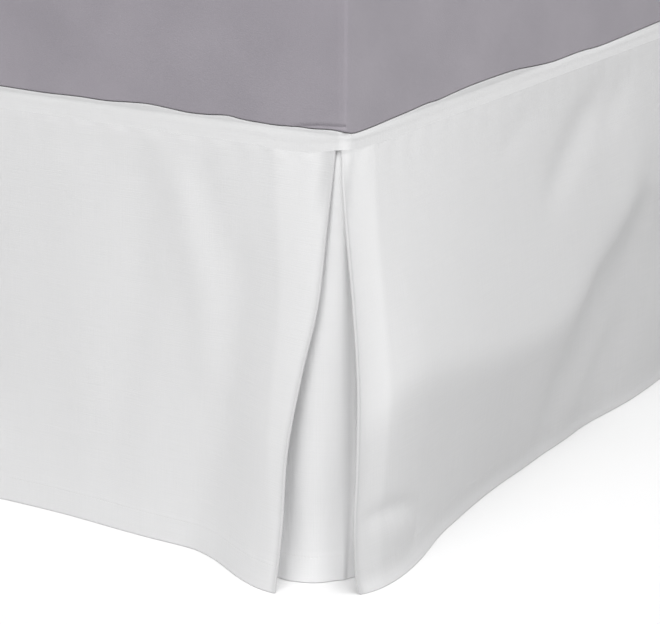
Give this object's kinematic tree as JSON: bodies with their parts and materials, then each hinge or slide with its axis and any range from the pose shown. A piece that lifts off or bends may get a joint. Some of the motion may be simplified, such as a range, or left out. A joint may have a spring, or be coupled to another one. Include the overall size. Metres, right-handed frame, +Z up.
{
  "type": "bed skirt on a mattress and base",
  "caption": "White tailored bed skirt with open pleats at the foot corners, on a grey mattress over a plain base with legs.",
  "frame": {"origin": "on the floor, under the centre of the overall box of the bed and skirt", "axes": "+Y runs from the foot of the bed to its head, +X to the right seen from the foot, +Z up"},
  "size_m": [1.5964, 2.0852, 0.6323],
  "materials": {
    "white_cloth": "plain weave, matt",
    "grey_ticking": "brushed, matt",
    "base_cloth": "woven, matt",
    "leg_wood": "stained, satin"
  },
  "bodies": {
    "root": {"deck": "white_cloth", "drop_foot": "white_cloth", "drop_right": "white_cloth", "drop_left": "white_cloth", "underlay_right": "white_cloth", "underlay_left": "white_cloth", "mattress": "grey_ticking", "base": "base_cloth", "leg_1": "leg_wood", "leg_2": "leg_wood", "leg_3": "leg_wood", "leg_4": "leg_wood", "leg_5": "leg_wood", "leg_6": "leg_wood"}
  },
  "joints": []
}
